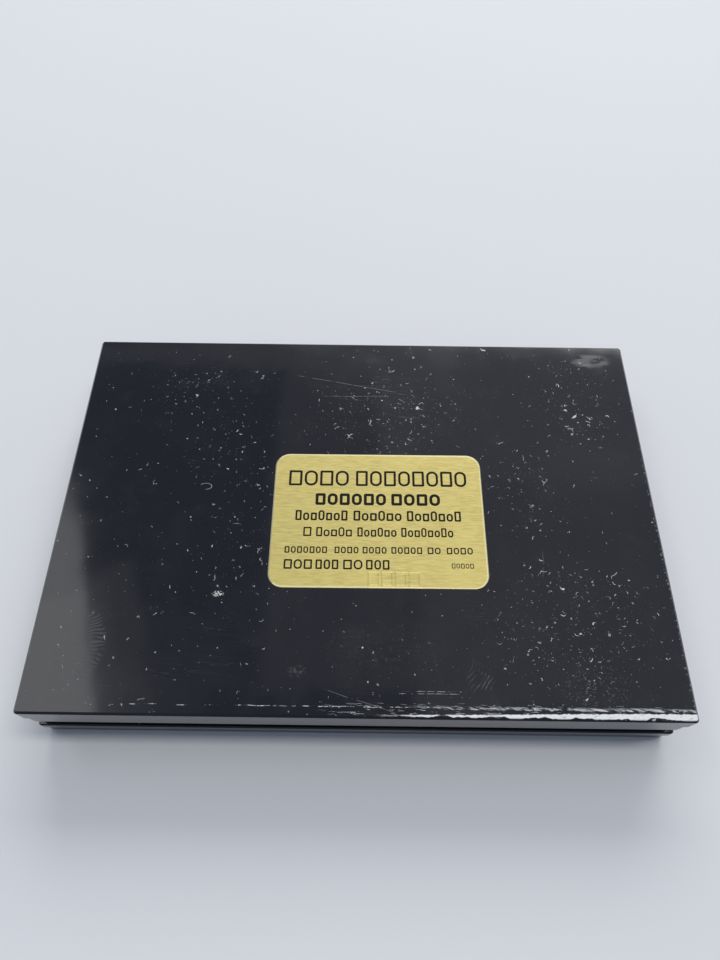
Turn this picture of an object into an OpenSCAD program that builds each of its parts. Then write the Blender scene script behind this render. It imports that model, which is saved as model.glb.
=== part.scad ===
// Flat rectangular pressed-powder compact, lying on its lid with the base plate upwards.
// Millimetres. The origin is the middle of the lid's flat outer face; +X runs along the width,
// +Y points to the hinge and +Z points from the lid up to the base plate.

/* [Case] */
// Width of the base plate, side to side
case_w = 89.5; // [84:0.5:100]
// Depth of the base plate, front to hinge
case_d = 62.5; // [58:0.5:72]
// Corner radius of the case seen from above
corner_r = 0.5; // [0.4:0.1:0.8]
// Wall thickness of both shells
wall = 1.6; // [1.4:0.1:1.7]
// Thickness of the base plate and of the lid plate
plate_t = 1.5; // [1.3:0.1:1.6]

/* [Tiers] */
// Height of the base's upper tier, under the base plate's face
tier1_h = 3.1; // [3:0.1:3.9]
// Height of the base's lower tier, down to the parting line
tier2_h = 2.5; // [2.4:0.1:2.8]
// Height of the lid's upper tier, the recessed neck and the ledge below it together
tier3_h = 4.4; // [4.3:0.1:4.8]
// Height of the lid's ledge
ledge_h = 1.6; // [1.2:0.1:1.8]
// Height of the lid's lower tier, down to its flat face
tier4_h = 2.7; // [2.4:0.1:2.8]
// Set-back of the base's lower tier from the plate's edge
tier2_in = 0.05; // [0:0.05:0.3]
// Corner radius of the base's lower tier seen from above
tier2_r = 1.1; // [0.5:0.1:1.2]
// Set-back of the lid's neck from the plate's edge
tier3_in = 0.55; // [0.5:0.05:0.65]
// Set-back of the lid's ledge from the plate's edge
ledge_in = 0.1; // [0:0.05:0.3]
// Set-back of the lid's lower tier from the plate's edge
tier4_in = 0.3; // [0.2:0.05:0.5]

/* [Hinge] */
// Radius of the hinge barrel and of the ears
barrel_r = 1.75; // [1.6:0.05:1.8]
// Radius of each steel hinge pin
pin_r = 0.75; // [0.6:0.05:0.8]
// Radial running clearance of the pins in the barrel
pin_gap = 0.05; // [0.03:0.01:0.08]
// Length of each hinge pin
pin_l = 10; // [8:0.5:14]
// Thickness of each hinge ear along the hinge
ear_t = 3.5; // [3:0.1:4]

/* [Powder] */
// Depth of the metal pan
pan_h = 2.9; // [2.7:0.1:3]
// Metal thickness of the pan
pan_t = 0.4; // [0.3:0.05:0.5]
// Thickness of the pressed cake
cake_h = 2.35; // [2:0.05:2.4]

/* [Mirror] */
// Thickness of the mirror glass
glass_t = 1.8; // [1.5:0.1:1.9]
// Width of the frame's lip over the glass edge
frame_lip = 1.3; // [1:0.1:1.6]

/* [Applicator] */
// Width of the brush handle
handle_w = 7.4; // [6.5:0.1:7.8]
// Thickness of the brush
brush_t = 2.8; // [2.4:0.1:3]

/* [Label] */
// Width of the foil label
label_w = 31.8; // [24:0.1:38]
// Height of the foil label
label_d = 22.2; // [18:0.1:26]
// Corner radius of the foil label
label_r = 2.2; // [1:0.1:3]
// Thickness of the foil label
label_t = 0.1; // [0.08:0.01:0.15]

/* [Hidden] */
$fn = 48;
eps = 0.01;
far = 100;              // reach of a cutting block beyond the case

// heights
part_z = tier3_h + tier4_h;
case_h = part_z + tier1_h + tier2_h;
part_gap = 0.12;        // gap between the two rims when shut
lid_top = part_z - part_gap / 2;
base_low = part_z + part_gap / 2;
tier1_z = part_z + tier2_h;
floor_z = case_h - plate_t;      // inner face of the base plate
edge_c = 0.3;           // chamfer on the plate edges
rim_c = 0.2;            // chamfer on the rims and on the tiers' shoulders
foot_c = 0.1;           // chamfer under a tier

// hinge
hinge_y = case_d / 2 - barrel_r - 0.3;
hinge_z = part_z - 0.6;
ear_x = case_w / 2 - tier3_in - 0.1;     // outer face of each ear
cove_r = barrel_r + 0.15;
end_gap = 0.2;          // gap between a barrel end and an ear
barrel_x = ear_x - ear_t - end_gap;      // end of the barrel
lip_z = hinge_z + 1.3;  // lower edge of the base's rear wall
ear_top = lip_z + 0.8;  // height at which the ears run into the rear wall
channel_y = hinge_y - cove_r;            // front of the hinge channel
pin_recess = 0.2;       // depth of a pin end below its ear's face
press_gap = 0.01;

// cavities: both shells share the same rear inner wall
channel_wall = 1.4;
rear_in = channel_y - channel_wall;
base_in_x = case_w / 2 - wall;
base_front = -(case_d / 2 - wall);
lid_in_x = case_w / 2 - tier3_in - wall;
lid_front = -(case_d / 2 - tier3_in - wall);
cavity_r = 0.6;
fit_gap = 0.1;          // assembly clearance of the inner pieces

// catch
catch_w = 10;
catch_y = lid_front + 0.15;      // front face of the tongue
catch_t = 1.05;
catch_top = part_z + 2;
ledge_d = 0.35;
nib_d = 0.2;
nib_h = 0.4;

// deck, from the rear: margin, pan pocket, divider, brush trough
deck_z = part_z + 0.3;
deck_t = 1;
deck_margin = 2.6;
well_floor = 0.7;
well_wall = 1;
pocket_gap = 0.15;
pan_w = case_w - 11.5;
trough_d = 10.2;
deck_front = base_front + fit_gap;
front_margin = 3.65;
pan_d = rear_in - fit_gap - deck_front - front_margin - trough_d - 2 * deck_margin - 2 * pocket_gap;
pan_r = 2.5;
pan_y = rear_in - fit_gap - deck_margin - pocket_gap - pan_d / 2;
trough_y = deck_front + front_margin + trough_d / 2;
trough_w = case_w - 17.5;
trough_r = 2;
trough_top = floor_z - 0.8;
scoop_r = 9;            // finger scoop on the front side of the trough, beside the handle
scoop_reach = 2.5;
scoop_x = -14;
glue_t = 0.1;
pan_top = floor_z - well_floor - glue_t;
cake_face_c = 0.2;
peg_r = 1.2;
peg_h = 0.5;
peg_x = pan_w / 2 - 8;
peg_y = pan_d / 2 - 8;
glue_r = 6;
glue_x = pan_w / 4;
glue_y = pan_d / 4;

// brush, lying along the trough
brush_end = trough_w / 2 - 2;
ferrule_x = 6;
ferrule_l = 12;
ferrule_w = handle_w + 0.8;
ferrule_t = brush_t + 0.2;
ferrule_wall = 0.3;
tenon_l = 4;
tip_w = ferrule_w + 1.2;
clip_l = 3;
clip_x = [-24, -4];
brush_z = trough_top - ferrule_t / 2;

// mirror stack in the lid
pad_t = 0.3;
frame_x = lid_in_x - fit_gap;
frame_front = lid_front + fit_gap;
frame_rear = rear_in - fit_gap;
frame_y = (frame_front + frame_rear) / 2;
frame_d = frame_rear - frame_front;
frame_band = 2.7;       // frame width outside the glass
glass_w = 2 * frame_x - 2 * frame_band;
glass_d = frame_d - 2 * frame_band;
glass_r = 2;
glass_gap = 0.1;
glass_z = plate_t + pad_t;
frame_top = glass_z + glass_t + 0.8;

// label
label_x = 2.9;
label_y = -2.3;
label_turn = 0.2;

// A rounded-corner slab from z to z + h, with chamfers on its lower and upper edges.
module slab(w, d, z, h, r, low = 0, high = 0) {
    corner = [[0, 0], [r - low, 0], [r, low], [r, h - high], [r - high, h], [0, h]];
    translate([0, 0, z]) {
        for (sx = [-1, 1], sy = [-1, 1])
            translate([sx * (w / 2 - r), sy * (d / 2 - r), 0])
                rotate_extrude() polygon(corner);
        rotate([90, 0, 0]) linear_extrude(d - 2 * r, center = true) edge_section(w, h, low, high);
        rotate([90, 0, 90]) linear_extrude(w - 2 * r, center = true) edge_section(d, h, low, high);
    }
}

// The section of a slab of width w and height h with chamfered edges.
module edge_section(w, h, low, high) {
    polygon([[-w / 2 + low, 0], [w / 2 - low, 0], [w / 2, low], [w / 2, h - high],
             [w / 2 - high, h], [-w / 2 + high, h], [-w / 2, h - high], [-w / 2, low]]);
}

// A block between two x, two y and two z values.
module block(x0, x1, y0, y1, z0, z1) {
    translate([x0, y0, z0]) cube([x1 - x0, y1 - y0, z1 - z0]);
}

// A flat oval of width w and height h.
module oval(w, h) {
    square([w - h, h], center = true);
    for (s = [-1, 1]) translate([s * (w - h) / 2, 0]) circle(h / 2);
}

// A cylinder along X on the hinge line.
module hinge_rod(r, x0, x1) {
    translate([x0, hinge_y, hinge_z]) rotate([0, 90, 0]) cylinder(r = r, h = x1 - x0);
}

// One hinge ear on the right (side = 1) or left (side = -1), solid.
module ear(side) {
    x0 = side > 0 ? ear_x - ear_t : -ear_x;
    hinge_rod(barrel_r, x0, x0 + ear_t);
    block(x0, x0 + ear_t, hinge_y - barrel_r, hinge_y + barrel_r, hinge_z, ear_top);
}

// Ridge on the base's inner front wall that the lid's nib passes.
module catch_ledge() {
    block(-catch_w / 2, catch_w / 2, base_front - eps, base_front + ledge_d,
          base_low + nib_h, base_low + 2 * nib_h);
}

module base_tray() color("#17181b") difference() {
    union() {
        difference() {
            union() {
                slab(case_w, case_d, tier1_z, case_h - tier1_z, corner_r, foot_c, edge_c);
                slab(case_w - 2 * tier2_in, case_d - 2 * tier2_in, base_low,
                     tier1_z - base_low + eps, tier2_r, rim_c, rim_c);
            }
            translate([0, (base_front + rear_in) / 2, 0])
                slab(2 * base_in_x, rear_in - base_front, 0, floor_z, cavity_r);
            block(-far, far, hinge_y, far, 0, lip_z);
            hinge_rod(cove_r, -barrel_x - end_gap, barrel_x + end_gap);
        }
        for (side = [-1, 1]) ear(side);
        catch_ledge();
        for (sx = [-1, 1], sy = [-1, 1])
            translate([sx * peg_x, pan_y + sy * peg_y, floor_z - peg_h])
                cylinder(r = peg_r, h = peg_h + eps);
    }
    hinge_rod(pin_r + press_gap, -far, far);
}

module tray_insert() color("#202124") difference() {
    union() {
        translate([0, (deck_front + rear_in - fit_gap) / 2, 0])
            slab(2 * (base_in_x - fit_gap), rear_in - fit_gap - deck_front, deck_z, deck_t, cavity_r);
        translate([0, pan_y, 0])
            slab(pan_w + 2 * (pocket_gap + well_wall), pan_d + 2 * (pocket_gap + well_wall),
                 deck_z, floor_z - deck_z, pan_r + pocket_gap + well_wall);
        translate([0, trough_y, 0])
            slab(trough_w + 2 * well_wall, trough_d + 2 * well_wall, deck_z, floor_z - deck_z,
                 trough_r + well_wall);
        scoop(scoop_r + well_wall, deck_z, floor_z);
    }
    translate([0, pan_y, 0])
        slab(pan_w + 2 * pocket_gap, pan_d + 2 * pocket_gap, 0, floor_z - well_floor,
             pan_r + pocket_gap);
    difference() {
        translate([0, trough_y, 0]) slab(trough_w, trough_d, 0, trough_top, trough_r);
        for (x = clip_x, side = [-1, 1]) clip_rib(x, side);
    }
    scoop(scoop_r, 0, trough_top);
    block(-catch_w / 2 - 1, catch_w / 2 + 1, -far, catch_y + catch_t + 0.4, 0, catch_top + 0.5);
    for (sx = [-1, 1], sy = [-1, 1])
        translate([sx * peg_x, pan_y + sy * peg_y, floor_z - well_floor - eps])
            cylinder(r = peg_r + 0.05, h = well_floor + 2 * eps);
}

// A round of radius r that reaches past the trough's front wall, between two z values.
module scoop(r, z0, z1) {
    intersection() {
        translate([scoop_x, trough_y - trough_d / 2 + scoop_r - scoop_reach, z0])
            cylinder(r = r, h = z1 - z0);
        block(-far, far, -far, trough_y, z0, z1);
    }
}

// Rib on a trough wall that grips the brush handle.
module clip_rib(x, side) {
    inner = handle_w / 2 + 0.05;
    y = trough_y + side * (inner + trough_d / 2) / 2;
    reach = (trough_d / 2 - inner) / 2 + eps;
    block(x - clip_l / 2, x + clip_l / 2, y - reach, y + reach, deck_z + 0.4, trough_top + eps);
}

module powder_pan() color("#c3c5c8") translate([0, pan_y, 0]) difference() {
    slab(pan_w, pan_d, pan_top - pan_h, pan_h, pan_r);
    slab(pan_w - 2 * pan_t, pan_d - 2 * pan_t, 0, pan_top - pan_t, pan_r - pan_t);
}

module powder_cake() color("#b98a55") translate([0, pan_y, 0])
    slab(pan_w - 2 * pan_t, pan_d - 2 * pan_t, pan_top - pan_t - cake_h, cake_h,
         pan_r - pan_t, cake_face_c, 0);

module pan_adhesive() color("#d8d2b8")
    for (sx = [-1, 1], sy = [-1, 1])
        translate([sx * glue_x, pan_y + sy * glue_y, pan_top]) cylinder(r = glue_r, h = glue_t);

module base_label() color("#c9b96f")
    translate([label_x, label_y, 0]) rotate([0, 0, label_turn])
        slab(label_w, label_d, case_h, label_t, label_r);

module hinge_pin_left() color("#b9bcc0")
    hinge_rod(pin_r, -ear_x + pin_recess, -ear_x + pin_recess + pin_l);

module hinge_pin_right() color("#b9bcc0")
    hinge_rod(pin_r, ear_x - pin_recess - pin_l, ear_x - pin_recess);

module brush_handle() color("#17181b") translate([0, trough_y, brush_z]) {
    rotate([90, 0, 90]) translate([0, 0, ferrule_x])
        linear_extrude(tenon_l)
            oval(ferrule_w - 2 * ferrule_wall - 0.1, ferrule_t - 2 * ferrule_wall - 0.1);
    translate([0, 0, -brush_t / 2]) linear_extrude(brush_t) {
        translate([-brush_end + handle_w / 2, 0]) circle(handle_w / 2);
        polygon([[-brush_end + handle_w / 2, -handle_w / 2], [ferrule_x, -handle_w / 2],
                 [ferrule_x, handle_w / 2], [-brush_end + handle_w / 2, handle_w / 2]]);
    }
}

module brush_ferrule() color("#c9cbce") translate([ferrule_x, trough_y, brush_z])
    rotate([90, 0, 90]) linear_extrude(ferrule_l) difference() {
        oval(ferrule_w, ferrule_t);
        oval(ferrule_w - 2 * ferrule_wall, ferrule_t - 2 * ferrule_wall);
    }

module brush_bristles() color("#5a3a26") translate([0, trough_y, brush_z]) {
    root_x = ferrule_x + tenon_l + 0.2;
    mouth_x = ferrule_x + ferrule_l;
    root_w = ferrule_w - 2 * ferrule_wall - 0.1;
    root_t = ferrule_t - 2 * ferrule_wall - 0.1;
    translate([root_x, 0, 0]) rotate([90, 0, 90])
        linear_extrude(mouth_x - root_x + eps) oval(root_w, root_t);
    hull() {
        translate([mouth_x, 0, 0]) rotate([90, 0, 90])
            linear_extrude(eps) oval(root_w, root_t, $fn = 24);
        translate([brush_end - 3, 0, 0]) rotate([90, 0, 90])
            linear_extrude(1) oval(tip_w, root_t + 0.3, $fn = 24);
        translate([brush_end - 1, 0, 0]) rotate([90, 0, 90])
            linear_extrude(1) oval(tip_w - 3, root_t - 1.2, $fn = 24);
    }
}

// Tongue on the lid's front wall, with the nib that holds the case shut.
module catch_tongue() {
    block(-catch_w / 2, catch_w / 2, lid_front - eps, catch_y + catch_t, frame_top + 0.1, lid_top);
    block(-catch_w / 2, catch_w / 2, catch_y, catch_y + catch_t, frame_top + 0.1, catch_top);
    translate([0, catch_y, catch_top - 2 * nib_h]) rotate([90, 0, 90])
        linear_extrude(catch_w - 2, center = true)
            polygon([[eps, 0], [-nib_d, nib_h / 2], [-nib_d, nib_h], [eps, 1.6 * nib_h]]);
}

module lid_shell() color("#17181b") difference() {
    union() {
        difference() {
            union() {
                slab(case_w - 2 * tier4_in, case_d - 2 * tier4_in, 0, tier4_h + eps, corner_r, edge_c, 0);
                slab(case_w - 2 * ledge_in, case_d - 2 * ledge_in, tier4_h, ledge_h,
                     corner_r, foot_c, rim_c);
                slab(case_w - 2 * tier3_in, case_d - 2 * tier3_in, tier4_h, lid_top - tier4_h,
                     corner_r, 0, rim_c);
            }
            translate([0, (lid_front + rear_in) / 2, 0])
                slab(2 * lid_in_x, rear_in - lid_front, plate_t, far, cavity_r);
            block(-far, far, channel_y, far, tier4_h, far);
        }
        hinge_rod(barrel_r, -barrel_x, barrel_x);
        block(-barrel_x, barrel_x, channel_y - eps, hinge_y - barrel_r / 2, tier4_h - eps, hinge_z);
        catch_tongue();
    }
    hinge_rod(pin_r + pin_gap, -far, -barrel_x + pin_l);
    hinge_rod(pin_r + pin_gap, barrel_x - pin_l, far);
}

module mirror_frame() color("#202124") translate([0, frame_y, 0]) difference() {
    slab(2 * frame_x, frame_d, plate_t, frame_top - plate_t, cavity_r, 0, rim_c);
    slab(glass_w + 2 * glass_gap, glass_d + 2 * glass_gap, 0, glass_z + glass_t + glass_gap,
         glass_r + glass_gap);
    slab(glass_w - 2 * frame_lip, glass_d - 2 * frame_lip, 0, far, glass_r);
}

module mirror_glass() color("#cdd6da") translate([0, frame_y, 0])
    slab(glass_w, glass_d, glass_z, glass_t, glass_r, rim_c, rim_c);

module mirror_adhesive() color("#e4e0d4") translate([0, frame_y, 0])
    slab(glass_w - 12, glass_d - 12, plate_t, pad_t, glass_r);

base_tray();
tray_insert();
powder_pan();
powder_cake();
pan_adhesive();
base_label();
hinge_pin_left();
hinge_pin_right();
brush_handle();
brush_ferrule();
brush_bristles();
lid_shell();
mirror_frame();
mirror_glass();
mirror_adhesive();
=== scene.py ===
"""Looks of a gloss-black pressed-powder compact that lies on its lid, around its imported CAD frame.

Lengths are in metres in the frame, and in millimetres inside the materials and the builders of pieces.
"""

import math
import random

import bmesh
import bpy
from mathutils import Matrix, Quaternion, Vector


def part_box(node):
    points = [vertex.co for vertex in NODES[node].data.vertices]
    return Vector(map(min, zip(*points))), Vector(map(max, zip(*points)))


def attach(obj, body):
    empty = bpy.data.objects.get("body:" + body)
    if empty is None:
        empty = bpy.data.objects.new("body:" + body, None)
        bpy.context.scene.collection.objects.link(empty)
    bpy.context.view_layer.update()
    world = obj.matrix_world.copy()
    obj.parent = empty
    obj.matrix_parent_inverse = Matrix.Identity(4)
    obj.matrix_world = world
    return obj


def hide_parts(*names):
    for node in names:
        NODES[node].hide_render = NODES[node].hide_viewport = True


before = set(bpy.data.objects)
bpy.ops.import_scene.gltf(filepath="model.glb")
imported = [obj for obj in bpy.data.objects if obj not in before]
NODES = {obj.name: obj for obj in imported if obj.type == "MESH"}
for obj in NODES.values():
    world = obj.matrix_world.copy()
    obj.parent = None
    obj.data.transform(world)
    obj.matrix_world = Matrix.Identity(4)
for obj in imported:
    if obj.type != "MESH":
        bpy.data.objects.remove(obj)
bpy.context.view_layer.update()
MM = 0.001


# ---------------------------------------------------------------- places, from the frame

PLATE_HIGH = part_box("base_tray")[1]
LABEL_LOW, LABEL_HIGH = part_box("base_label")
PLATE_Z = LABEL_LOW.z                       # the base plate's face
HALF_W = PLATE_HIGH.x / MM
HALF_D = PLATE_HIGH.y / MM


# ---------------------------------------------------------------- material graphs

class Field:
    """A number that varies over a surface. Arithmetic on it adds math nodes."""

    def __init__(self, graph, socket):
        self.graph = graph
        self.socket = socket

    def __add__(self, other):
        return self.graph.math("ADD", self, other)

    def __radd__(self, other):
        return self.graph.math("ADD", other, self)

    def __sub__(self, other):
        return self.graph.math("SUBTRACT", self, other)

    def __rsub__(self, other):
        return self.graph.math("SUBTRACT", other, self)

    def __mul__(self, other):
        return self.graph.math("MULTIPLY", self, other)

    def __rmul__(self, other):
        return self.graph.math("MULTIPLY", other, self)

    def __truediv__(self, other):
        return self.graph.math("DIVIDE", self, other)

    def __abs__(self):
        return self.graph.math("ABSOLUTE", self)

    def fall(self, edge, soft):
        """1 below edge, 0 above edge + soft."""
        return self.graph.ramp(self, edge + soft, edge)

    def rise(self, edge, soft):
        """0 below edge, 1 above edge + soft."""
        return self.graph.ramp(self, edge, edge + soft)


class Graph:
    """One procedural material, built node by node."""

    def __init__(self, name, **uniform):
        self.material = bpy.data.materials.new(name)
        self.material.use_nodes = True
        self.tree = self.material.node_tree
        self.shader = self.tree.nodes["Principled BSDF"]
        for socket, value in uniform.items():
            self.shader.inputs[socket.replace("_", " ")].default_value = value
        place = self.node("ShaderNodeTexCoord").outputs["Object"]
        scaled = self.node("ShaderNodeVectorMath", operation="SCALE")
        self.link(place, scaled.inputs[0])
        scaled.inputs["Scale"].default_value = 1 / MM
        self.place = scaled.outputs[0]
        self.x, self.y, self.z = self.split(self.place)

    def node(self, kind, **settings):
        """A new node of the given kind."""
        made = self.tree.nodes.new(kind)
        for name, value in settings.items():
            setattr(made, name, value)
        return made

    def link(self, source, target):
        """Joins a Field or an output to an input."""
        self.tree.links.new(source.socket if isinstance(source, Field) else source, target)

    def feed(self, value, target):
        """Links a Field, or sets a plain number or colour."""
        if isinstance(value, (Field, bpy.types.NodeSocket)):
            self.link(value, target)
        else:
            target.default_value = value

    def split(self, vector):
        """The three parts of a vector, as Fields."""
        parts = self.node("ShaderNodeSeparateXYZ")
        self.link(vector, parts.inputs[0])
        return [Field(self, s) for s in parts.outputs]

    def math(self, operation, *values):
        """The result of one math node over Fields and numbers."""
        made = self.node("ShaderNodeMath", operation=operation)
        for value, socket in zip(values, made.inputs):
            self.feed(value, socket)
        return Field(self, made.outputs[0])

    def most(self, first, *others):
        """The largest of several Fields, point by point."""
        for other in others:
            first = self.math("MAXIMUM", first, other)
        return first

    def ramp(self, value, low, high):
        """0 at low, 1 at high, smooth between and flat beyond."""
        made = self.node("ShaderNodeMapRange", interpolation_type="SMOOTHSTEP")
        for item, name in ((value, "Value"), (low, "From Min"), (high, "From Max")):
            self.feed(item, made.inputs[name])
        return Field(self, made.outputs["Result"])

    def stretch(self, x, y, z, turn=0.0, shift=0.0):
        """The place in mm, turned about Z, then scaled."""
        turned = self.node("ShaderNodeVectorRotate", rotation_type="Z_AXIS")
        self.link(self.place, turned.inputs["Vector"])
        turned.inputs["Angle"].default_value = math.radians(turn)
        made = self.node("ShaderNodeVectorMath", operation="MULTIPLY_ADD")
        self.link(turned.outputs[0], made.inputs[0])
        made.inputs[1].default_value = (x, y, z)
        made.inputs[2].default_value = (shift, shift, shift)
        return made.outputs[0]

    def noise(self, per_mm, detail=2.0, rough=0.5, vector=None):
        """A smooth noise about 0.5, with per_mm features to the millimetre of its vector."""
        made = self.node("ShaderNodeTexNoise")
        self.link(vector or self.place, made.inputs["Vector"])
        made.inputs["Scale"].default_value = per_mm
        made.inputs["Detail"].default_value = detail
        made.inputs["Roughness"].default_value = rough
        return Field(self, made.outputs["Fac"])

    def spot(self, x, y, rx, ry):
        """A soft oval patch: 1 in its middle, 0 outside."""
        dx = (self.x - x) * (1 / rx)
        dy = (self.y - y) * (1 / ry)
        return (dx * dx + dy * dy).fall(0, 1)

    def least(self, first, second):
        return self.math("MINIMUM", first, second)

    def length(self, x, y):
        return self.math("SQRT", x * x + y * y)

    def outline(self, middle, half_x, half_y, corner):
        """Distance outside a rounded rectangle, negative inside it."""
        over_x = abs(self.x - middle[0]) - (half_x - corner)
        over_y = abs(self.y - middle[1]) - (half_y - corner)
        beyond = self.length(self.most(over_x, 0.0), self.most(over_y, 0.0))
        return beyond + self.least(self.most(over_x, over_y), 0.0) - corner

    def mix(self, amount, first, second):
        """A colour between first and second."""
        made = self.node("ShaderNodeMix", data_type="RGBA")
        self.feed(amount, made.inputs["Factor"])
        for value, name in ((first, "A"), (second, "B")):
            socket = next(s for s in made.inputs if s.name == name and s.type == "RGBA")
            self.feed(value if isinstance(value, bpy.types.NodeSocket) else (*value, 1), socket)
        return next(s for s in made.outputs if s.type == "RGBA")

    def bump(self, height, depth_mm, strength=1.0):
        """Turns a height of 0 to 1 into a relief depth_mm deep on the shader."""
        made = self.node("ShaderNodeBump")
        made.inputs["Strength"].default_value = strength
        made.inputs["Distance"].default_value = depth_mm * MM
        self.link(height, made.inputs["Height"])
        self.link(made.outputs["Normal"], self.shader.inputs["Normal"])

    def set(self, **fields):
        """Feeds the shader's sockets and gives back the finished material."""
        for socket, value in fields.items():
            self.feed(value, self.shader.inputs[socket.replace("_", " ")])
        return self.material


# ---------------------------------------------------------------- gloss-black plastic

BLACK = (0.0088, 0.0096, 0.0132)
DUST = (0.78, 0.78, 0.77)
CHIP = (0.8, 0.81, 0.79)
GREASE = (0.5, 0.5, 0.52)
SCRATCH = (0.42, 0.42, 0.43)
FACE_DEPTH = 0.17             # how far below the plate's face its wear still shows, for the rounded edges
# where dust crowds on the base plate: middle, half size and how much
DUST_CROWDS = (
    (-28, 21, 10, 7, 0.85), (-20, 9, 10, 13, 0.6), (5, 17, 17, 12, 0.9), (34, 19, 10, 14, 0.75),
    (30, -18, 18, 14, 0.8), (25, 2, 10, 13, 0.7), (-18, -6, 9, 14, 0.6), (6, -24, 12, 6, 0.4),
)
# single fine scratches on the base plate: both ends and strength
HAIRLINES = (
    ((-11, 24.3), (6, 21), 0.3), ((-6.4, 20), (5, 20.2), 0.3), ((-6.4, 21.4), (-6.2, 20), 0.25),
    ((-4.5, -27.5), (5.5, -30.6), 0.22), ((26.5, -12), (27, -7), 0.16),
)


def flecks(g, per_mm, level, seed, long=1.0, turn=0.0):
    """Specks where a fine noise peaks above level; long stretches them along one direction."""
    vector = g.stretch(1 / long, 1, 1, turn=turn, shift=seed)
    return g.noise(per_mm, detail=2.0, rough=0.65, vector=vector).rise(level, 0.04)


def lint(g, per_mm, level, width, seed):
    """Short curled fibres: stretches of a noise's middle contour, cut off outside small patches."""
    vector = g.stretch(1, 1, 1, shift=seed)
    half = width * per_mm
    line = abs(g.noise(per_mm, detail=1.0, vector=vector) - 0.5).fall(half * 0.2, half * 0.7)
    patch = g.noise(per_mm * 0.8, detail=1.0, vector=g.stretch(1, 1, 1, shift=seed + 40))
    return line * patch.rise(level, 0.04)


def hair_scratches(g, turn, share, seed):
    """Long hair-thin scratches that run one way and fade in and out."""
    vector = g.stretch(0.035, 1.6, 1.6, turn=turn, shift=seed)
    line = abs(g.noise(1.0, detail=1.0, vector=vector) - 0.5).fall(0.0, 0.005)
    patch = g.noise(0.09, detail=1.0, vector=g.stretch(1, 1, 1, shift=seed * 2.7))
    return line * patch.rise(1 - share, 0.2)


def hairline(g, start, end, strength):
    """One straight fine scratch on the plate, broken up a little."""
    run = (end[0] - start[0], end[1] - start[1])
    long = math.hypot(*run)
    unit = (run[0] / long, run[1] / long)
    along = (g.x - start[0]) * unit[0] + (g.y - start[1]) * unit[1]
    across = abs((g.y - start[1]) * unit[0] - (g.x - start[0]) * unit[1] + (g.noise(0.3) - 0.5) * 0.3)
    ends = along.rise(0, 1) * along.fall(long - 1, 1)
    return across.fall(0.015, 0.06) * ends * g.noise(1.2).rise(0.3, 0.2) * strength


def gloss_black(name, worn_plate=False):
    """High-gloss black moulding with dust and hair scratches; the base plate also has its wear."""
    g = Graph(name, IOR=1.5, Specular_IOR_Level=0.5)
    haze = g.noise(0.06, detail=4.0, rough=0.6)
    dust = g.most(flecks(g, 1.8, 0.745, 2.0) * 0.5, flecks(g, 3.6, 0.74, 5.0) * 0.35)
    marks = g.most(hair_scratches(g, 12, 0.42, 3.0), hair_scratches(g, -61, 0.36, 9.0)) * 0.1
    smear = haze.rise(0.45, 0.3) * 0.01
    chips = 0.0
    if worn_plate:
        face = g.z.rise(PLATE_Z / MM - FACE_DEPTH, 0.1)
        dust = g.most(dust * (1 - face), plate_dust(g) * face)
        marks = g.most(marks * (1 - face), plate_marks(g) * face)
        smear = g.most(smear, plate_smears(g) * face)
        chips = front_chips(g) * face
    ripple = g.noise(0.12, detail=1.0)
    g.bump(ripple * 0.8 + dust * 0.03 + chips * 0.5, 0.05)
    film = g.mix(smear, BLACK, GREASE)
    film = g.mix(marks, film, SCRATCH)
    film = g.mix(dust, film, DUST)
    return g.set(
        Base_Color=g.mix(chips, film, CHIP) if worn_plate else film,
        Roughness=0.05 + haze * 0.045 + smear * 2.4 + marks * 0.25 + dust * 0.5 + chips * 0.4,
    )


def plate_dust(g):
    """Dust and lint on the base plate, crowded in a few places."""
    crowd = g.most(*(g.spot(x, y, rx, ry) * much for x, y, rx, ry, much in DUST_CROWDS))
    strength = g.noise(0.9, detail=2.0, vector=g.stretch(1, 1, 1, shift=31.0)).rise(0.34, 0.3) * 0.75 + 0.25
    specks = g.most(
        flecks(g, 1.55, 0.795 - crowd * 0.045, 3.0, long=1.6, turn=20),
        flecks(g, 3.1, 0.78 - crowd * 0.06, 8.0, long=1.3, turn=-30) * 0.9,
        flecks(g, 5.0, 0.745 - crowd * 0.065, 13.0) * 0.55,
        g.spot(31, -20, 15, 11) * flecks(g, 3.0, 0.69, 19.0, long=2.6, turn=38) * 0.5,
        g.spot(32, -26.8, 6, 3) * flecks(g, 4.5, 0.62, 41.0) * 0.22,
        abs(g.x - HALF_W + 0.4).fall(0.1, 0.2) * flecks(g, 2.4, 0.57, 44.0) * g.y.fall(-2, 20) * 0.25)
    fibres = g.most(
        lint(g, 0.8, 0.72 - crowd * 0.075, 0.035, 17.0) * 0.85,
        lint(g, 1.6, 0.715 - crowd * 0.075, 0.03, 23.0) * 0.7)
    loop = abs(g.length(g.x + 23.5, (g.y - 2.8) * 1.7) - 0.9).fall(0.01, 0.07)
    curl = loop * (g.x + g.y + 21.4).rise(0, 0.4) * 0.5
    lump = g.spot(-19.8, -14.5, 1.0, 0.55) * g.noise(3.4, detail=3.0, rough=0.75).rise(0.46, 0.1)
    return g.most(specks * strength, fibres * strength, curl, lump)


def plate_marks(g):
    """Hair scratches on the base plate."""
    return g.most(
        hair_scratches(g, 4, 0.42, 1.0) * 0.13, hair_scratches(g, 38, 0.36, 5.0) * 0.08,
        hair_scratches(g, -24, 0.36, 7.0) * 0.08,
        g.spot(2, 19, 12, 7) * hair_scratches(g, 3, 0.6, 12.0) * 0.3,
        g.spot(3, -19, 10, 8) * hair_scratches(g, 18, 0.55, 15.0) * 0.14,
        *(hairline(g, *each) for each in HAIRLINES))


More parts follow.
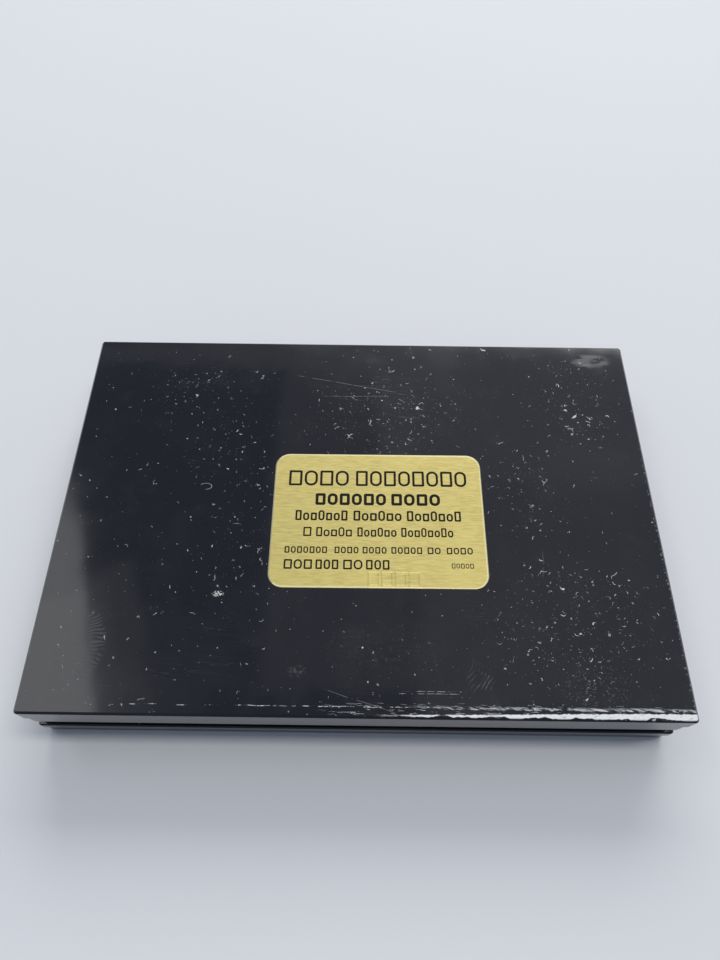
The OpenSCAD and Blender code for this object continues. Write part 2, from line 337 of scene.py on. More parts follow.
def plate_smears(g):
    """Greasy smears and finger marks on the base plate."""
    cloud = g.noise(0.16, detail=5.0, rough=0.6)
    fine = g.noise(2.0, detail=4)
    return g.most(
        cloud.rise(0.5, 0.35) * 0.02,
        g.spot(39, 28, 4, 1.8) * g.noise(1.2, detail=4, vector=g.stretch(0.3, 1, 1)).rise(0.35, 0.4) * 0.13,
        g.spot(3, -22, 12, 6) * cloud.rise(0.38, 0.4) * 0.025,
        g.spot(4, -22, 11, 5) * fine.rise(0.5, 0.2) * 0.025,
        g.spot(-8, -25.3, 1.6, 1.1) * fine.rise(0.4, 0.2) * 0.07,
        fan_print(g, -42.5, -22, 6.0, 0.055), ring_print(g, 16.7, -25.7, 2.4, 3.2, 0.09))


def fan_print(g, x, y, away, strength):
    """Part of a finger mark: short ridges that fan out from x, y, seen in a narrow band away mm from it."""
    dx, dy = g.x - x, g.y - y
    spread = g.math("ARCTAN2", dy, dx) + g.noise(0.35, detail=2) * 0.22
    ridge = g.math("SINE", spread * (2 * math.pi * away / 0.46)).rise(-0.2, 0.9)
    band = abs(g.length(dx, dy) - away - 0.9).fall(0.4, 1.3) * abs(dy).fall(3.2, 2.2) * dx.rise(0, 3)
    return ridge * band * g.noise(0.7, detail=3).rise(0.3, 0.25) * strength


def ring_print(g, x, y, half_x, half_y, strength):
    """A finger mark: curved greasy ridges half a millimetre apart in a soft oval."""
    away = g.length(g.x - (x - 3 * half_x), g.y - y - half_y) + g.noise(0.25, detail=1) * 2
    ridge = g.math("SINE", away * (2 * math.pi / 0.48)).rise(-0.1, 0.9)
    return ridge * g.spot(x, y, half_x, half_y) * g.noise(0.6, detail=3).rise(0.36, 0.3) * strength


def front_chips(g):
    """Whitened chips along the front edge and broken scratch lines parallel to it.

    front is the distance from the edge. chips are the bright torn rim, dashes and double the broken lines
    behind it, shards the ragged flakes in between, and rubbed the faint wear over all of them.
    """
    front = g.y + HALF_D
    along = g.stretch(1, 0, 0, shift=2.0)
    wander = g.noise(0.3, detail=3, vector=along) - 0.5
    nicks = g.noise(0.42, detail=4, rough=0.75, vector=g.stretch(1, 0.3, 0, shift=7.0))
    teeth = g.noise(2.2, detail=3, rough=0.7, vector=g.stretch(0.6, 1.6, 1, turn=-30))
    low = 0.2 + g.noise(0.5, detail=2, vector=g.stretch(1, 0, 0, shift=21.0)).rise(0.35, 0.3) * 0.32
    high = 0.5 + g.x.rise(6, 36) * 0.5 * (0.5 + nicks) + (teeth - 0.5) * 0.4
    there = g.most(g.x.rise(30, 8), nicks.rise(0.5 - g.x.rise(-8, 40) * 0.3, 0.05))
    chips = (front - high).fall(-0.04, 0.1) * (front - low).rise(-0.03, 0.07) * there
    chips = chips * g.x.rise(2, 8) * teeth.rise(0.16, 0.3)
    breaks = g.noise(0.28, detail=4, rough=0.75, vector=g.stretch(1, 0.4, 0, shift=4.0))
    level = g.noise(1.1, detail=2, vector=along).rise(0.35, 0.3)
    row = abs(front - 1.45 - wander * 0.4)
    dashes = row.fall(0.0, 0.075) * breaks.rise(0.47, 0.07) * g.x.rise(-33, 2) * (0.25 + level * 0.6)
    dashes = dashes * g.noise(2.2, detail=2, vector=along).rise(0.38, 0.12)
    torn = g.noise(0.45, detail=2, vector=g.stretch(1, 0, 0, shift=9.0)).rise(0.36, 0.12)
    shards = g.most(
        flecks(g, 3.0, 0.54, 27.0, long=8.0, turn=11) * 0.55,
        flecks(g, 4.0, 0.5, 5.0, long=6.0, turn=17) * 0.3)
    shards = shards * abs(front - 1.5 - wander * 0.3).fall(0.0, 0.3) * g.x.rise(4, 14) * torn
    rubbed = flecks(g, 3.0, 0.6, 33.0, long=7.0, turn=3) * abs(front - 1.1).fall(0.5, 0.6)
    rubbed = rubbed * g.x.rise(-7, 10) * 0.22
    double = abs(abs(front - 3.4) - 0.15).fall(0.0, 0.05) * abs(g.x - 10).fall(4.2, 0.6)
    double = double * breaks.rise(0.44, 0.1) * 0.3
    return g.most(chips, dashes, shards, rubbed, double)


# ---------------------------------------------------------------- inner materials

POWDER = (0.62, 0.38, 0.2)


def inner_black(name):
    """Semi-gloss moulding with a fine grain, and powder that has settled on it."""
    g = Graph(name, IOR=1.48)
    grain = g.noise(8.0, detail=2.0)
    cloud = g.noise(0.13, detail=5.0, rough=0.62)
    specks = g.most(flecks(g, 3.2, 0.68, 6.0) * 0.7, flecks(g, 1.4, 0.72, 11.0)) * cloud.rise(0.36, 0.2)
    film = cloud.rise(0.44, 0.4) * 0.07
    marks = hair_scratches(g, 8, 0.5, 4.0) * 0.12
    g.bump(grain * 0.35 + specks, 0.02, 0.7)
    black = g.mix(film, (0.013, 0.013, 0.0145), POWDER)
    black = g.mix(marks, black, (0.35, 0.35, 0.35))
    return g.set(Base_Color=g.mix(specks * 0.75, black, POWDER), Roughness=0.32 + cloud * 0.14 + specks * 0.3)


def metal(name, colour, dull, rough, grain_vector, powdery=0.0, crimps=()):
    """Bare metal with a fine drawn grain; powder on it if powdery, and painted shade in the crimps at the
    given x in mm.
    """
    g = Graph(name, Metallic=1.0)
    grain = g.noise(1.0, detail=4.0, rough=0.7, vector=g.stretch(*grain_vector))
    stain = g.noise(0.2, detail=4.0)
    g.bump(grain, 0.006, 0.5)
    bright = g.mix(grain * 0.6 + stain * 0.4, dull, colour)
    if powdery:
        film = g.most(stain.rise(0.42, 0.3) * 0.5, flecks(g, 3.0, 0.64, 3.0)) * powdery
        bright = g.mix(film, bright, POWDER)
    for crimp in crimps:
        # painted shade: a near-black line darkens each crimp groove of the sleeve
        bright = g.mix(abs(g.x - crimp).fall(0.15, 0.3) * 0.8, bright, (0.1, 0.09, 0.08))
    return g.set(Base_Color=bright, Roughness=rough + grain * 0.14 + stain * 0.06)


def pressed_powder():
    """Golden pressed powder: fine grain, a little shimmer, and a paler rubbed middle."""
    g = Graph("pressed_powder", IOR=1.4, Specular_IOR_Level=0.25)
    grain = g.noise(7.0, detail=4.0, rough=0.75)
    cloud = g.noise(0.12, detail=4.0, rough=0.6)
    glint = flecks(g, 6.0, 0.71, 9.0)
    rubbed = g.spot(CAKE_MID.x / MM + WORN[0], CAKE_MID.y / MM + WORN[1], WORN[2] * 1.3, WORN[3] * 1.3)
    g.bump(grain + flecks(g, 2.4, 0.7, 4.0) * 0.6, 0.05, 0.7)
    body = g.mix(grain * 0.6 + cloud * 0.4, (0.43, 0.235, 0.11), (0.66, 0.42, 0.22))
    body = g.mix(rubbed * cloud.rise(0.3, 0.3) * 0.3, body, (0.7, 0.47, 0.27))
    return g.set(Base_Color=g.mix(glint * 0.7, body, (0.95, 0.78, 0.48)), Roughness=0.8 - glint * 0.45)


def mirror_silver():
    """Silvered glass with a few smudges and some powder dust."""
    g = Graph("mirror_silver", Metallic=1.0)
    cloud = g.noise(0.1, detail=5.0, rough=0.65)
    dust = g.most(flecks(g, 3.0, 0.735, 5.0) * 0.6, flecks(g, 1.5, 0.755, 12.0) * 0.8)
    smudge = cloud.rise(0.5, 0.25)
    clear = g.mix(smudge * 0.12, (0.86, 0.88, 0.87), (0.6, 0.56, 0.5))
    return g.set(Base_Color=g.mix(dust, clear, POWDER), Roughness=0.015 + smudge * 0.09 + dust * 0.5)


def soft_solid(name, dark, pale, rough, per_mm, depth):
    """Glue or foam: mottled colour and a bumpy skin."""
    g = Graph(name, IOR=1.45)
    lumps = g.noise(per_mm, detail=4.0, rough=0.6)
    drift = g.noise(per_mm * 0.15, detail=2.0)
    g.bump(lumps, depth)
    return g.set(Base_Color=g.mix(lumps * 0.5 + drift * 0.5, dark, pale), Roughness=rough + lumps * 0.15)


def hair_brown():
    """Dark brown hair: streaks along it, paler towards the tips, with powder caught at the ends."""
    g = Graph("brush_hair", IOR=1.5)
    streak = g.noise(1.0, detail=3.0, vector=g.stretch(0.25, 7, 7))
    tip = g.x.rise(HAIR_HIGH.x / MM - 6, 6)
    dusty = tip * g.noise(1.5, detail=3.0).rise(0.45, 0.2)
    brown = g.mix(streak, (0.03, 0.014, 0.007), (0.13, 0.065, 0.03))
    brown = g.mix(tip * 0.3, brown, (0.2, 0.11, 0.06))
    return g.set(Base_Color=g.mix(dusty * 0.45, brown, POWDER), Roughness=0.4 + streak * 0.15)


# ---------------------------------------------------------------- the stage

SURROUND = (0.2, 0.23, 0.295, 1)
LAMP_WHITE = (1, 0.99, 0.97)
FLOOR_SIZE = 6
# middle, size and radiance of the panes of the left reflection, which together fade upwards and to the right
LEFT_PANES = (
    ((-0.300, 0.100), (0.125, 0.15), 2.2), ((-0.317, 0.16), (0.12, 0.22), 1.9),
    ((-0.338, 0.215), (0.12, 0.29), 1.3), ((-0.290, 0.105), (0.145, 0.165), 0.4),
    ((-0.283, 0.110), (0.18, 0.18), 0.25),
)
LEFT_HEIGHT = 0.56
LEFT_SPIN = 15
LEFT_WHITE = (1, 0.99, 0.99)
# the same for the dim glow over the rear and the right of the plate
RIGHT_PANES = (
    ((0.27, 0.56), (0.5, 0.32), 0.45), ((0.29, 0.55), (0.38, 0.22), 0.4), ((0.3, 0.6), (0.3, 0.14), 0.3),
    ((0.12, 0.6), (0.7, 0.05), 0.3), ((0.07, 0.6), (0.8, 0.05), 0.25), ((0.02, 0.6), (0.9, 0.05), 0.2),
    ((0.29, 0.39), (0.44, 0.56), 0.34), ((0.24, 0.38), (0.7, 0.5), 0.2),
)
RIGHT_HEIGHT = 0.71
RIGHT_WHITE = (0.98, 0.94, 1)
# the photograph's camera: lens and sensor in mm, and two of its axes in the frame
LENS = 26.72
SENSOR = 36
CAMERA_PLACE = (0.00024, -0.04964, 0.10849)
CAMERA_FORWARD = Vector((-0.0013, 0.4903, -0.8716))
CAMERA_RIGHT = Vector((0.9999, 0.0120, 0.0052))


def light(name, place, aim, size, watts, colour, spin=0.0):
    """Adds a rectangular light at place that faces aim, turned by spin degrees about its own axis."""
    data = bpy.data.lights.new(name, "AREA")
    data.shape = "RECTANGLE"
    data.size, data.size_y = size
    data.energy = watts
    data.color = colour
    lamp = bpy.data.objects.new(name, data)
    bpy.context.scene.collection.objects.link(lamp)
    lamp.location = place
    turn = (Vector(aim) - Vector(place)).to_track_quat("-Z", "Y") @ Quaternion((0, 0, 1), math.radians(spin))
    lamp.rotation_euler = turn.to_euler()


def pane(name, middle, size, height, radiance, colour, spin=0.0):
    """Adds a dim light that shines straight down and is only there to be reflected in the plate."""
    place = (*middle, height)
    watts = radiance * math.pi * size[0] * size[1]
    light(name, place, (*middle, 0), size, watts, colour, spin)


def stage():
    """Pale floor, soft lights, an even grey surround and the camera."""
    bpy.ops.mesh.primitive_plane_add(size=FLOOR_SIZE, location=(0, 0, 0))
    floor = bpy.context.object
    floor.name = "floor"
    g = Graph("floor_paper", Roughness=0.85)
    mottle = g.noise(0.004, detail=3)
    g.set(Base_Color=g.mix(mottle, (0.74, 0.75, 0.77), (0.79, 0.8, 0.81)))
    floor.data.materials.append(g.material)

    world = bpy.data.worlds.new("surround")
    world.use_nodes = True
    world.node_tree.nodes["Background"].inputs["Color"].default_value = SURROUND
    bpy.context.scene.world = world
    light("top_softbox", (0.26, 0.035, 0.95), (0.26, 0.035, 0), (0.6, 0.12), 3.0, LAMP_WHITE)
    light("back_softbox", (0.1, 1.0, 0.75), (0, 0, 0), (1.1, 0.5), 8.5, LAMP_WHITE)
    for index, (middle, size, radiance) in enumerate(LEFT_PANES):
        pane(f"left_pane_{index}", middle, size, LEFT_HEIGHT, radiance, LEFT_WHITE, spin=LEFT_SPIN)
    for index, (middle, size, radiance) in enumerate(RIGHT_PANES):
        pane(f"right_pane_{index}", middle, size, RIGHT_HEIGHT, radiance, RIGHT_WHITE)

    scene = bpy.context.scene
    scene.view_settings.view_transform = "Standard"
    camera = bpy.data.objects.new("camera", bpy.data.cameras.new("camera"))
    scene.collection.objects.link(camera)
    camera.data.lens = LENS
    camera.data.sensor_width = SENSOR
    camera.data.clip_start = 0.01
    forward = CAMERA_FORWARD.normalized()
    right = (CAMERA_RIGHT - forward * CAMERA_RIGHT.dot(forward)).normalized()
    turn = Matrix((right, right.cross(forward), -forward)).transposed()
    camera.matrix_world = Matrix.Translation(CAMERA_PLACE) @ turn.to_4x4()
    scene.camera = camera


WELD = 0.002                  # mm within which a CAD mesh's doubled corners are joined
EDGE_SEGMENTS = 3
EDGE_ANGLE = math.radians(35) # a fold sharper than this counts as an edge
# how far the edges of each kind of piece are rounded, in mm
SHELL_EDGE = 0.08
DECK_EDGE = 0.15
HANDLE_EDGE = 0.4
PIN_EDGE = 0.1


def paint(node, material, edge=0.0):
    """Gives a CAD node its material, and rounds its sharp edges by edge mm so that they catch the light."""
    piece = NODES[node]
    piece.data.materials.clear()
    piece.data.materials.append(material)
    if edge:
        weld = piece.modifiers.new("weld", "WELD")
        weld.merge_threshold = WELD * MM
        bevel = piece.modifiers.new("edges", "BEVEL")
        bevel.width = edge * MM
        bevel.segments = EDGE_SEGMENTS
        bevel.limit_method = "ANGLE"
        bevel.angle_limit = EDGE_ANGLE
        bevel.harden_normals = True


# ---------------------------------------------------------------- builders of pieces

def new_piece(name, made, material, body, smooth=lambda polygon: True):
    """Turns a bmesh into a named piece that rides on a body."""
    mesh = bpy.data.meshes.new(name)
    bmesh.ops.recalc_face_normals(made, faces=made.faces)
    made.to_mesh(mesh)
    made.free()
    mesh.materials.append(material)
    for polygon in mesh.polygons:
        polygon.use_smooth = smooth(polygon)
    piece = bpy.data.objects.new(name, mesh)
    bpy.context.scene.collection.objects.link(piece)
    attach(piece, body)
    return piece


def is_flat(polygon):
    """True for the faces that look up or down."""
    return abs(polygon.normal.z) > 0.5


def skin(made, rings, closed=False):
    """Joins rings of points with quads; closed joins the last ring to the first, else the ends get caps."""
    rings = [[made.verts.new(p) for p in ring] for ring in rings]
    count = len(rings[0])
    pairs = list(zip(rings, rings[1:]))
    if closed:
        pairs.append((rings[-1], rings[0]))
    for low, high in pairs:
        for i in range(count):
            made.faces.new((low[i], low[(i + 1) % count], high[(i + 1) % count], high[i]))
    if not closed:
        made.faces.new(rings[0][::-1])
        made.faces.new(rings[-1])


def graded(low, high, coarse, fine_low, fine_high, fine):
    """Steps from low to high, finer between fine_low and fine_high."""
    values = [low]
    while values[-1] < high:
        here = values[-1]
        step = fine if fine_low - coarse <= here <= fine_high else coarse
        values.append(min(here + step, high))
    if values[-1] - values[-2] < fine / 2:
        values.pop(-2)
    return values


def round_corner(x, y, half_x, half_y, corner):
    """Moves a point near a rectangle's corner so that the outline becomes a rounded one."""
    over_x, over_y = abs(x) - (half_x - corner), abs(y) - (half_y - corner)
    if over_x > 0 and over_y > 0:
        scale = max(over_x, over_y) / math.hypot(over_x, over_y)
        x = math.copysign(half_x - corner + over_x * scale, x)
        y = math.copysign(half_y - corner + over_y * scale, y)
    return x, y


def relief_plate(xs, ys, corner, face, back):
    """A plate with a rounded outline. face and back give the places of its two faces' points over x, y."""
    made = bmesh.new()
    places = [[round_corner(x, y, xs[-1], ys[-1], corner) for x in xs] for y in ys]
    grid = [[made.verts.new(face(*place)) for place in row] for row in places]
    wide, deep = len(xs) - 1, len(ys) - 1
    for j in range(deep):
        for i in range(wide):
            made.faces.new((grid[j][i], grid[j][i + 1], grid[j + 1][i + 1], grid[j + 1][i]))
    loop = ([(0, i) for i in range(wide)] + [(j, wide) for j in range(deep)]
            + [(deep, i) for i in range(wide, 0, -1)] + [(j, 0) for j in range(deep, 0, -1)])
    rim = [grid[j][i] for j, i in loop]
    under = [made.verts.new(back(*places[j][i])) for j, i in loop]
    for i in range(len(rim)):
        after = (i + 1) % len(rim)
        made.faces.new((rim[i], under[i], under[after], rim[after]))
    made.faces.new(under)
    return made


# ---------------------------------------------------------------- the label

LABEL_TURN = math.radians(0.2)
LABEL_MID = (LABEL_LOW + LABEL_HIGH) / 2
LABEL_HALF = (15.9, 11.1)
LABEL_CORNER = 2.2
FOIL_Z = 0.038                # the foil's lowest height above the plate
STAMP_ROW = (-9.75, 1.0)      # middle and half height of the blind-stamped boxes
STAMP_BOXES = (-0.65, 1.3, 3.25, 5.2)
STAMP_HALF = 0.72
STAMP_RISE = 0.045            # height and softness of a stamped outline
STAMP_SOFT = 0.13
GRID = 0.3                    # spacing of the foil's mesh, and its finer one around the stamped boxes
FINE_GRID = 0.07
INK_LIFT = 0.006
INK_STEPS = 5                 # straight pieces in a quarter turn of an outline
# each printed row: its foot, height, stroke, box width, gap, height of its low boxes as a share, and each
# word's two ends
INK_ROWS = (
    (5.47, 2.68, 0.36, 1.95, 0.35, 1.0, ((-13.7, -4.5), (-3.4, 13.6))),
    (2.15, 2.0, 0.45, 1.45, 0.3, 1.0, ((-9.5, 1.2), (2.0, 9.4))),
    (-0.45, 1.7, 0.28, 0.95, 0.22, 0.76, ((-12.4, -4.6), (-3.7, 3.5), (4.3, 12.4))),
    (-3.05, 1.5, 0.23, 0.8, 0.2, 0.74, ((-11.1, -9.9), (-9.2, -3.9), (-3.1, 2.7), (3.4, 11.1))),
    (-5.75, 1.05, 0.19, 0.78, 0.2, 1.0,
     ((-13.7, -7.5), (-6.4, -2.9), (-2.3, 1.2), (1.9, 6.4), (7.2, 9.1), (10.0, 13.8))),
    (-8.25, 1.5, 0.25, 1.05, 0.25, 1.0, ((-13.7, -9.6), (-9.1, -5.8), (-5.1, -2.3), (-1.8, 1.6))),
    (-7.95, 0.75, 0.12, 0.5, 0.14, 1.0, ((10.6, 13.8),)),
)


def label_relief(x, y):
    """Height of the foil's face over its lowest, in mm: faint waves and a row of blind-stamped boxes."""
    height = 0.003 * math.sin(0.9 * x + 0.4 * y) * math.sin(0.7 * y - 0.2 * x + 1) + 0.007
    height += 0.004 * math.sin(2.1 * x + 1.3 * y) * math.exp(-((y + 8.5) / 3.5) ** 2)
    middle, half = STAMP_ROW
    for box in STAMP_BOXES:
        out = max(abs(x - box) - STAMP_HALF, abs(y - middle) - half)
        height += STAMP_RISE * math.exp(-(out / STAMP_SOFT) ** 2)
    return height


def on_label(x, y, z):
    """A point on the label, x and y in mm from its middle and z above the plate, as a place in the frame."""
    turned = Matrix.Rotation(LABEL_TURN, 2) @ Vector((x, y))
    return Vector((LABEL_MID.x + turned.x * MM, LABEL_MID.y + turned.y * MM, LABEL_LOW.z + z * MM))


def label_foil():
    """The foil sticker. Its grid is fine enough around the stamped boxes to be real relief."""
    wide, deep = LABEL_HALF
    xs = graded(-wide, wide, GRID, STAMP_BOXES[0] - 1.2, STAMP_BOXES[-1] + 1.2, FINE_GRID)
    ys = graded(-deep, deep, GRID, -deep, STAMP_ROW[0] + 1.5, FINE_GRID)
    made = relief_plate(xs, ys, LABEL_CORNER, lambda x, y: on_label(x, y, FOIL_Z + label_relief(x, y)),
                        lambda x, y: on_label(x, y, 0))
    piece = new_piece("label_foil", made, gold_foil(), "base", smooth=is_flat)
    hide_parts("base_label")


def rounded_outline(middle_x, middle_y, half_x, half_y, corner):
    """Counter-clockwise points of a rounded rectangle, in mm."""
    points = []
    for index, (sx, sy) in enumerate(((1, 1), (-1, 1), (-1, -1), (1, -1))):
        for step in range(INK_STEPS + 1):
            angle = math.radians(90 * (index + step / INK_STEPS))
            points.append((middle_x + sx * (half_x - corner) + corner * math.cos(angle),
                           middle_y + sy * (half_y - corner) + corner * math.sin(angle)))
    return points


def ink_box(made, x, foot, width, height, stroke, is_round):
    """One open box or oval of ink, standing on its row's foot."""
    middle = foot + height / 2
    corner = width * 0.48 if is_round else stroke * 0.6
    half_x, half_y = width / 2, height / 2
    outer = rounded_outline(x, middle, half_x, half_y, corner)
    inner = rounded_outline(x, middle, half_x - stroke, half_y - stroke, max(corner - stroke, 0.02))

    def ring(points, lift):
        return [on_label(a, b, FOIL_Z + label_relief(a, b) + lift) for a, b in points]

    rings = [ring(outer, -INK_LIFT), ring(outer, INK_LIFT), ring(inner, INK_LIFT), ring(inner, -INK_LIFT)]
    skin(made, rings, closed=True)


def label_ink():
    """Rows of plain open boxes and ovals in place of the printed words."""
    made = bmesh.new()
    for foot, height, stroke, width, gap, low, words in INK_ROWS:
        for start, end in words:
            count = max(1, round((end - start + gap) / (width + gap)))
            pitch = (end - start + gap) / count
            for index in range(count):
                tall = height if index % 3 == 0 else height * low
                middle = start + pitch * (index + 0.5) - gap / 2
                ink_box(made, middle, foot, pitch - gap, tall, stroke, is_round=index % 2 == 1)
    new_piece("label_ink", made, black_ink(), "base", smooth=lambda polygon: False)


def gold_foil():
    """Metallised paper: fine grain across, a paler cut rim and slow colour drift."""
    g = Graph("gold_foil", Metallic=0.45)
    grain = g.noise(1.0, detail=4, rough=0.75, vector=g.stretch(0.6, 6, 1))
    drift = g.noise(0.12, detail=2)
    middle = (LABEL_MID.x / MM, LABEL_MID.y / MM)
    rim = g.outline(middle, LABEL_HALF[0], LABEL_HALF[1], LABEL_CORNER).rise(-0.3, 0.1)
    gold = g.mix(grain.rise(0.15, 0.7), (0.37, 0.3, 0.085), (0.7, 0.595, 0.208))
    gold = g.mix(drift.rise(0.35, 0.3) * 0.4, gold, (0.59, 0.5, 0.157))
    g.bump(grain, 0.02, 0.5)
    return g.set(Base_Color=g.mix(rim * 0.6, gold, (0.8, 0.74, 0.45)), Roughness=0.34 + grain * 0.22)


def black_ink():
    """Printing ink, a little worn."""
    g = Graph("black_ink", IOR=1.45, Specular_IOR_Level=0.15)
    worn = g.noise(3.0, detail=3)
    ink = g.mix(worn, (0.004, 0.003, 0.002), (0.02, 0.015, 0.009))
    return g.set(Base_Color=ink, Roughness=0.5 + worn * 0.2)


# ---------------------------------------------------------------- the powder cake

CAKE_LOW, CAKE_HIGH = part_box("powder_cake")
CAKE_MID = (CAKE_LOW + CAKE_HIGH) / 2
CAKE_HALF = ((CAKE_HIGH.x - CAKE_LOW.x) / 2 / MM, (CAKE_HIGH.y - CAKE_LOW.y) / 2 / MM)
CAKE_CORNER = 2.1
WORN = (11.0, -1.0, 15.0, 8.0)    # middle and half size of the part that the brush has rubbed down
RIB_PITCH = 2.4
RIB_DEPTH = 0.12
ROUNDING = (0.25, 0.2)            # width and depth of the rounded rim
GROOVE = (2.2, 0.3, 0.13)         # distance from the rim, half width and depth of the border groove
FIELD_IN = 3.2                    # distance from the rim at which the ribs start
WORN_DEPTH = 0.4
CAKE_GRID = 0.34


def cake_relief(x, y):
    """How deep the pressed face lies, in mm: rounded rim, border groove, diagonal ribs and rubbed hollow."""
    edge = min(CAKE_HALF[0] - abs(x), CAKE_HALF[1] - abs(y))
    depth = ROUNDING[1] * max(0.0, 1 - edge / ROUNDING[0]) ** 2
    depth += GROOVE[2] * math.exp(-((edge - GROOVE[0]) / GROOVE[1]) ** 2)
    worn = math.exp(-((x - WORN[0]) / WORN[2]) ** 2 - ((y - WORN[1]) / WORN[3]) ** 2)
    field = 1 / (1 + math.exp(-(edge - FIELD_IN) / 0.12))
    rib = 0.5 + 0.5 * math.sin(2 * math.pi * (x + y) / RIB_PITCH)
    depth += RIB_DEPTH * rib * field * (1 - min(1.0, worn * 1.6))
    stroke = 0.012 * math.sin(2.3 * y + 0.6 * math.sin(0.35 * x))
    return depth + worn * (WORN_DEPTH + stroke)


def powder_cake():
    """The cake, whose pressed face looks down at the mirror while the case is shut."""
    xs, ys = (graded(-half, half, CAKE_GRID, half, half, 0.12) for half in CAKE_HALF)

    def place(x, y, z):
        return Vector((CAKE_MID.x + x * MM, CAKE_MID.y + y * MM, z))

    made = relief_plate(xs, ys, CAKE_CORNER, lambda x, y: place(x, y, CAKE_LOW.z + cake_relief(x, y) * MM),
                        lambda x, y: place(x, y, CAKE_HIGH.z))
    piece = new_piece("cake", made, pressed_powder(), "base", smooth=is_flat)
    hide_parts("powder_cake")


# ---------------------------------------------------------------- the brush

FERRULE_LOW, FERRULE_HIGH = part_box("brush_ferrule")
FERRULE_MID = (FERRULE_LOW + FERRULE_HIGH) / 2
HAIR_LOW, HAIR_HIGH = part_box("brush_bristles")
FERRULE_WALL = 0.3
# steps along the ferrule's outside: distance from its handle end, and depth below the full size, in mm
FERRULE_STEPS = (
    (0, 0.1), (0.1, 0), (1.6, 0), (1.8, 0.12), (2, 0.2), (2.3, 0.2), (2.5, 0.12), (2.7, 0),
    (3.5, 0), (3.7, 0.12), (3.9, 0.2), (4.2, 0.2), (4.4, 0.12), (4.6, 0),
    (11, 0), (11.15, 0.08), (11.35, 0.08), (11.5, 0), (11.9, 0), (12, 0.1),
)
FERRULE_CRIMPS = (2.15, 4.05, 11.25)    # middles of its grooves, from the handle end
HAIR_COUNT = 1500
HAIR_RINGS = 7
HAIR_HALF = 0.05                        # half thickness at the root
HAIR_CORNERS = (0.5, 2.6, 4.7)          # directions of a hair's three corners
ROOT_DEPTH = 1.5                        # of the hairs inside the sleeve


def oval(x, half_w, half_t, count=56):
    """Points of a flat oval across the brush, x mm along the frame."""
    points = []
    for i in range(count):
        angle = 2 * math.pi * (i + 0.5) / count
        y = half_t * math.cos(angle) + math.copysign(half_w - half_t, math.cos(angle))
        points.append(Vector((x * MM, FERRULE_MID.y + y * MM, FERRULE_MID.z + half_t * math.sin(angle) * MM)))
    return points


def ferrule():
    """The crimped metal sleeve, open at the hair end."""
    half_w = (FERRULE_HIGH.y - FERRULE_LOW.y) / 2 / MM
    half_t = (FERRULE_HIGH.z - FERRULE_LOW.z) / 2 / MM
    start, end = FERRULE_LOW.x / MM, FERRULE_HIGH.x / MM
    steps = [(start + along, depth) for along, depth in FERRULE_STEPS]
    steps += [(end, FERRULE_WALL - 0.05), (end - 0.05, FERRULE_WALL), (start, FERRULE_WALL)]
    made = bmesh.new()
    skin(made, [oval(x, half_w - depth, half_t - depth) for x, depth in steps], closed=True)
    sleeve = metal("ferrule_metal", (0.86, 0.86, 0.87), (0.6, 0.6, 0.62), 0.12, (0.4, 8, 8), powdery=0.25,
                   crimps=[start + along for along in FERRULE_CRIMPS])
    piece = new_piece("ferrule_sleeve", made, sleeve, "base")
    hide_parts("brush_ferrule")


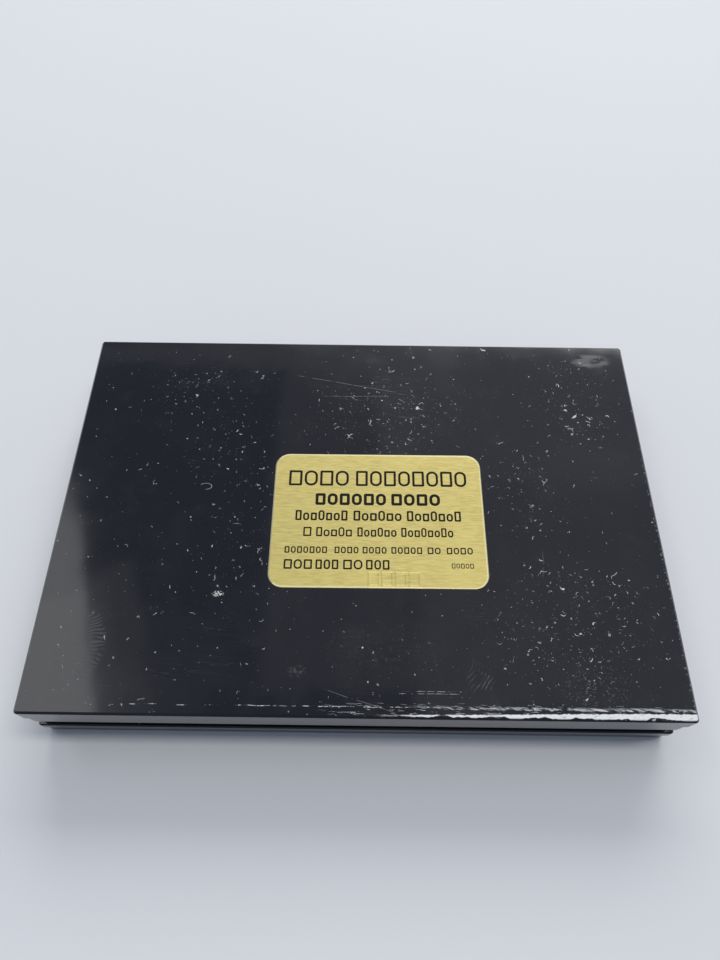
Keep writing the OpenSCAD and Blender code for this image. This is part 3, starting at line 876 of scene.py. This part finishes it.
def hairs():
    """The tuft: single tapered hairs around a dark core, fanned out and domed at the end."""
    rng = random.Random(7)
    half_w = (HAIR_HIGH.y - HAIR_LOW.y) / 2 / MM - 0.1
    half_t = (HAIR_HIGH.z - HAIR_LOW.z) / 2 / MM - 0.06
    root, end = FERRULE_HIGH.x / MM - ROOT_DEPTH, HAIR_HIGH.x / MM
    root_w = (FERRULE_HIGH.y - FERRULE_LOW.y) / 2 / MM - FERRULE_WALL - 0.15
    made = bmesh.new()
    for _ in range(HAIR_COUNT):
        turn, out = rng.uniform(0, 2 * math.pi), rng.random() ** 0.35
        across, up = out * math.cos(turn), out * math.sin(turn)
        last = end - 0.3 - 2.6 * across * across - rng.uniform(0, 1.6) - (1 - abs(up)) * 0.4
        bend_y, bend_z = rng.uniform(-0.14, 0.14), rng.uniform(-0.07, 0.07)
        rings = []
        for step in range(HAIR_RINGS):
            t = step / (HAIR_RINGS - 1)
            fan = t * t * (3 - 2 * t)
            y = across * (root_w * (1 - fan) + half_w * fan)
            y += bend_y * math.sin(math.pi * t) * (1 - abs(across))
            z = up * (half_t - 0.25 * (1 - fan) - 0.5 * t ** 6)
            z += bend_z * math.sin(2 * math.pi * t) * (1 - abs(up))
            thick = HAIR_HALF * (1 - 0.8 * t * t)
            x = root + (last - root) * t
            rings.append([Vector((x * MM, FERRULE_MID.y + (y + thick * math.cos(a)) * MM,
                                  FERRULE_MID.z + (z + thick * math.sin(a)) * MM)) for a in HAIR_CORNERS])
        skin(made, rings)
    brown = hair_brown()
    piece = new_piece("hair_tuft", made, brown, "base")
    core = bmesh.new()
    ovals = []
    for t in (0, 0.25, 0.5, 0.7, 0.85, 1):
        half_y = (root_w + (half_w - root_w) * t) * (0.93 - 0.2 * t ** 5)
        half_z = (half_t - 0.2) * (0.85 - 0.45 * t ** 4)
        ovals.append(oval(root + t * (end - root - 3.5), half_y, half_z))
    skin(core, ovals)
    new_piece("hair_core", core, brown, "base")
    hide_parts("brush_bristles")


# ---------------------------------------------------------------- put together

paint("base_tray", gloss_black("black_gloss_plate", worn_plate=True), edge=SHELL_EDGE)
paint("lid_shell", gloss_black("black_gloss_lid"), edge=SHELL_EDGE)
paint("brush_handle", gloss_black("black_gloss_handle"), edge=HANDLE_EDGE)
paint("tray_insert", inner_black("black_inner_tray"), edge=DECK_EDGE)
paint("mirror_frame", inner_black("black_inner_frame"), edge=DECK_EDGE)
aluminium = metal("pan_aluminium", (0.84, 0.845, 0.85), (0.66, 0.67, 0.68), 0.26, (3, 3, 3), powdery=0.7)
paint("powder_pan", aluminium, edge=SHELL_EDGE)
paint("pan_adhesive", soft_solid("glue", (0.6, 0.5, 0.3), (0.78, 0.72, 0.55), 0.35, 0.6, 0.1))
paint("mirror_adhesive", soft_solid("foam_tape", (0.66, 0.64, 0.57), (0.82, 0.8, 0.74), 0.7, 3.0, 0.1))
paint("mirror_glass", mirror_silver())
steel = metal("pin_steel", (0.7, 0.71, 0.73), (0.45, 0.46, 0.48), 0.22, (0.3, 9, 9))
paint("hinge_pin_left", steel, edge=PIN_EDGE)
paint("hinge_pin_right", steel, edge=PIN_EDGE)
label_foil()
label_ink()
powder_cake()
ferrule()
hairs()
stage()
